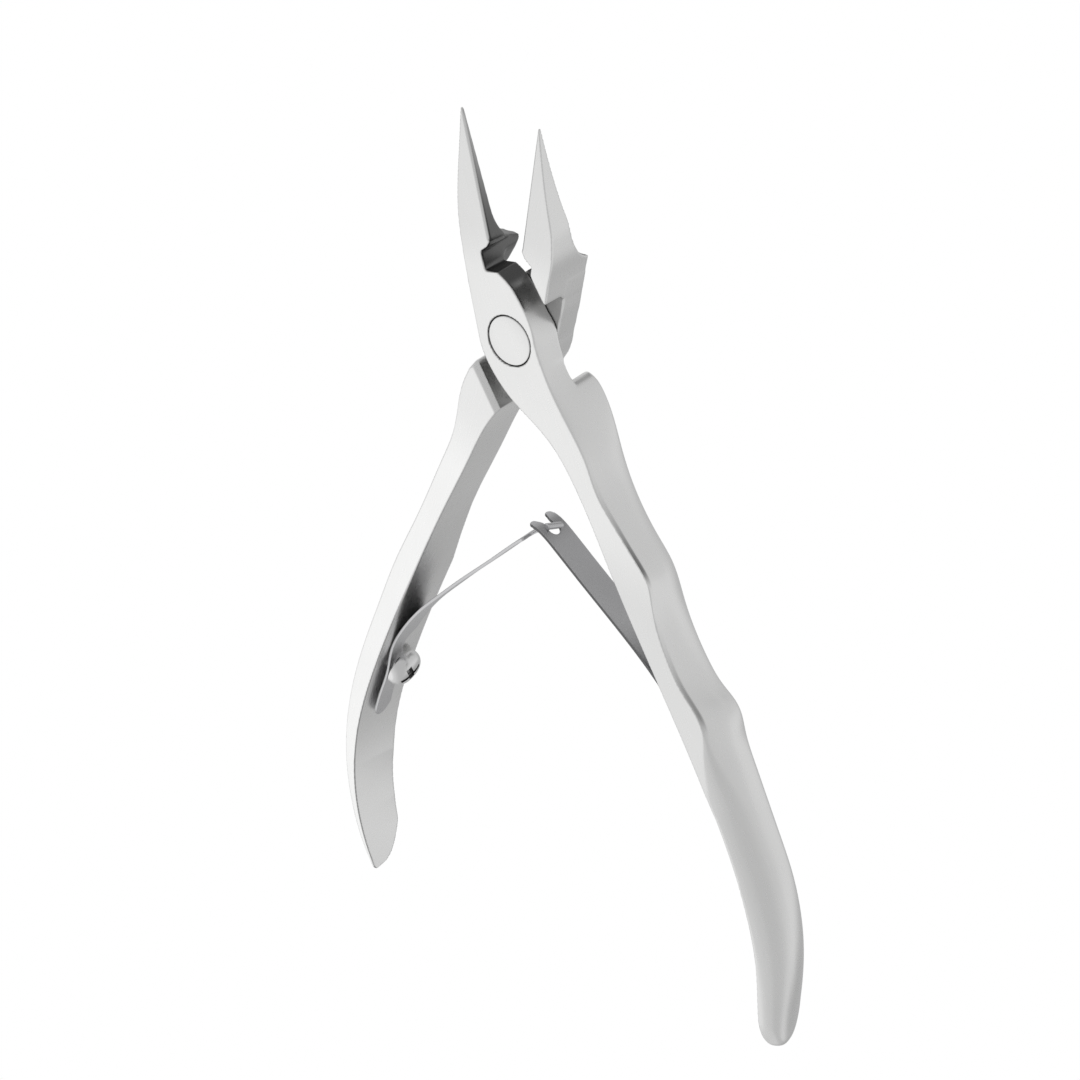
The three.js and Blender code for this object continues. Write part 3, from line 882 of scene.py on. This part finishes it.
CAMERA_LENS = 86.7
CAMERA_SENSOR = 36
CAMERA_AT = (189.4, 145.8, 225.1)
CAMERA_RIGHT = (0.7733, -0.0338, -0.6331)
CAMERA_UP = (-0.3061, 0.8546, -0.4196)


def reflected_grey(nodes, links):
    """The grey that lies in each direction, as a node output."""
    base = nodes.new("ShaderNodeRGB")
    base.outputs[0].default_value = (BASE_GREY, BASE_GREY, BASE_GREY, 1)
    where = nodes.new("ShaderNodeTexCoord")
    color = base.outputs[0]
    for toward, inner, outer, grey in REFLECTED:
        facing = nodes.new("ShaderNodeVectorMath")
        facing.operation = "DOT_PRODUCT"
        facing.inputs[1].default_value = Vector(toward).normalized()
        links.new(where.outputs["Generated"], facing.inputs[0])
        fade = nodes.new("ShaderNodeMapRange")
        fade.interpolation_type = "SMOOTHSTEP"
        fade.inputs["From Min"].default_value = math.cos(math.radians(outer))
        fade.inputs["From Max"].default_value = math.cos(math.radians(inner))
        links.new(facing.outputs["Value"], fade.inputs[0])
        patch = color_mix(nodes, links, fade.outputs[0])
        patch.inputs[7].default_value = (grey, grey, grey, 1)
        links.new(color, patch.inputs[6])
        color = patch.outputs[2]
    return color


def studio():
    """A white surround for the camera; the steel sees soft patches of brighter and darker grey."""
    world = bpy.data.worlds.new("studio")
    bpy.context.scene.world = world
    world.use_nodes = True
    nodes, links = world.node_tree.nodes, world.node_tree.links
    nodes.clear()
    out = nodes.new("ShaderNodeOutputWorld")
    seen = nodes.new("ShaderNodeBackground")
    seen.inputs[0].default_value = (1, 1, 1, 1)
    lit = nodes.new("ShaderNodeBackground")
    links.new(reflected_grey(nodes, links), lit.inputs[0])
    ray = nodes.new("ShaderNodeLightPath")
    pick = nodes.new("ShaderNodeMixShader")
    links.new(ray.outputs["Is Camera Ray"], pick.inputs[0])
    links.new(lit.outputs[0], pick.inputs[1])
    links.new(seen.outputs[0], pick.inputs[2])
    links.new(pick.outputs[0], out.inputs[0])


def softbox():
    lamp = stand("softbox", bpy.data.lights.new("softbox", "AREA"))
    lamp.data.shape = "DISK"
    lamp.data.size = SOFTBOX_SIZE
    lamp.data.energy = SOFTBOX_POWER
    toward = Vector(SOFTBOX_TOWARD).normalized()
    lamp.location = toward * SOFTBOX_REACH
    lamp.rotation_euler = toward.to_track_quat("Z", "Y").to_euler()


def pale_floor():
    """A white floor that only the camera sees, so that it doesn't change the steel's reflections."""
    mesh = bpy.data.meshes.new("floor")
    around = ((-1, -1), (1, -1), (1, 1), (-1, 1))
    corners = [(x * FLOOR_HALF, y * FLOOR_HALF, FLOOR_LEVEL) for x, y in around]
    mesh.from_pydata(corners, [], [(0, 1, 2, 3)])
    floor = stand("floor", mesh)
    material = bpy.data.materials.new("pale_floor")
    material.use_nodes = True
    nodes, links = material.node_tree.nodes, material.node_tree.links
    nodes.clear()
    out = nodes.new("ShaderNodeOutputMaterial")
    glow = nodes.new("ShaderNodeEmission")
    glow.inputs[0].default_value = (1, 1, 1, 1)
    links.new(glow.outputs[0], out.inputs[0])
    mesh.materials.append(material)
    floor.visible_glossy = False
    floor.visible_diffuse = False
    floor.visible_shadow = False


def photo_camera():
    """The viewing angle: above, in front and to the right, rolled so that the jaws point up."""
    eye = stand("camera", bpy.data.cameras.new("camera"))
    eye.data.lens = CAMERA_LENS
    eye.data.sensor_width = CAMERA_SENSOR
    eye.data.clip_end = 10
    right = Vector(CAMERA_RIGHT).normalized()
    up = Vector(CAMERA_UP)
    up = (up - right * up.dot(right)).normalized()
    turn = Matrix((right, up, right.cross(up))).transposed()
    eye.matrix_world = Matrix.Translation(Vector(CAMERA_AT) * MM) @ turn.to_4x4()
    bpy.context.scene.camera = eye


# ---------------------------------------------------------------- the tool
def place_piece(piece, node, material, body=None):
    """Gives a piece its material, hides the CAD node that it stands for, and puts it on its body unless
    it bends between two.
    """
    piece.data.materials.append(material)
    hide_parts(node)
    if body:
        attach(piece, body)


def build():
    wavy_steel = steel("wavy_lever_satin", (0.86, 0.86, 0.855), 0.28, HALF_OPENING + 0.2)
    # The plain lever's steel is painted brighter than the wavy lever's; painted shade takes it back down
    # everywhere but its lower front strip, which stays as a painted highlight
    plain_steel_painted_bright = steel("plain_lever_satin_painted_bright", (0.96, 0.96, 0.955), 0.28, -HALF_OPENING - 0.15)
    spring_steel = steel("spring_strip", (0.6, 0.6, 0.61), 0.28)
    screw_steel = steel("screw_bright", (0.8, 0.8, 0.8), 0.22)
    front = lever("front_lever_forging", WAVY, -1, True, HALF_OPENING)
    rear = lever("rear_lever_forging", PLAIN, 1, False, -HALF_OPENING)
    pin = rivet()
    fork = fork_leaf()
    tongue = tongue_leaf()
    fork_screw = pan_screw("fork_screw", WAVY, -1, HALF_OPENING, **FORK_SCREW)
    tongue_screw = pan_screw("tongue_screw", PLAIN, 1, -HALF_OPENING, **TONGUE_SCREW)
    place_piece(front, "front_lever", wavy_steel, "front_lever")
    place_piece(rear, "rear_lever", plain_steel_painted_bright, "rear_lever")
    place_piece(pin, "pivot_rivet", wavy_steel, "rear_lever")
    place_piece(fork, "fork_spring", spring_steel)
    place_piece(tongue, "tongue_spring", spring_steel)
    place_piece(fork_screw, "fork_spring_screw", screw_steel, "front_lever")
    place_piece(tongue_screw, "tongue_spring_screw", screw_steel, "rear_lever")
    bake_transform(fork)
    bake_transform(tongue)


build()
studio()
softbox()
pale_floor()
photo_camera()
bpy.context.scene.view_settings.view_transform = "Standard"
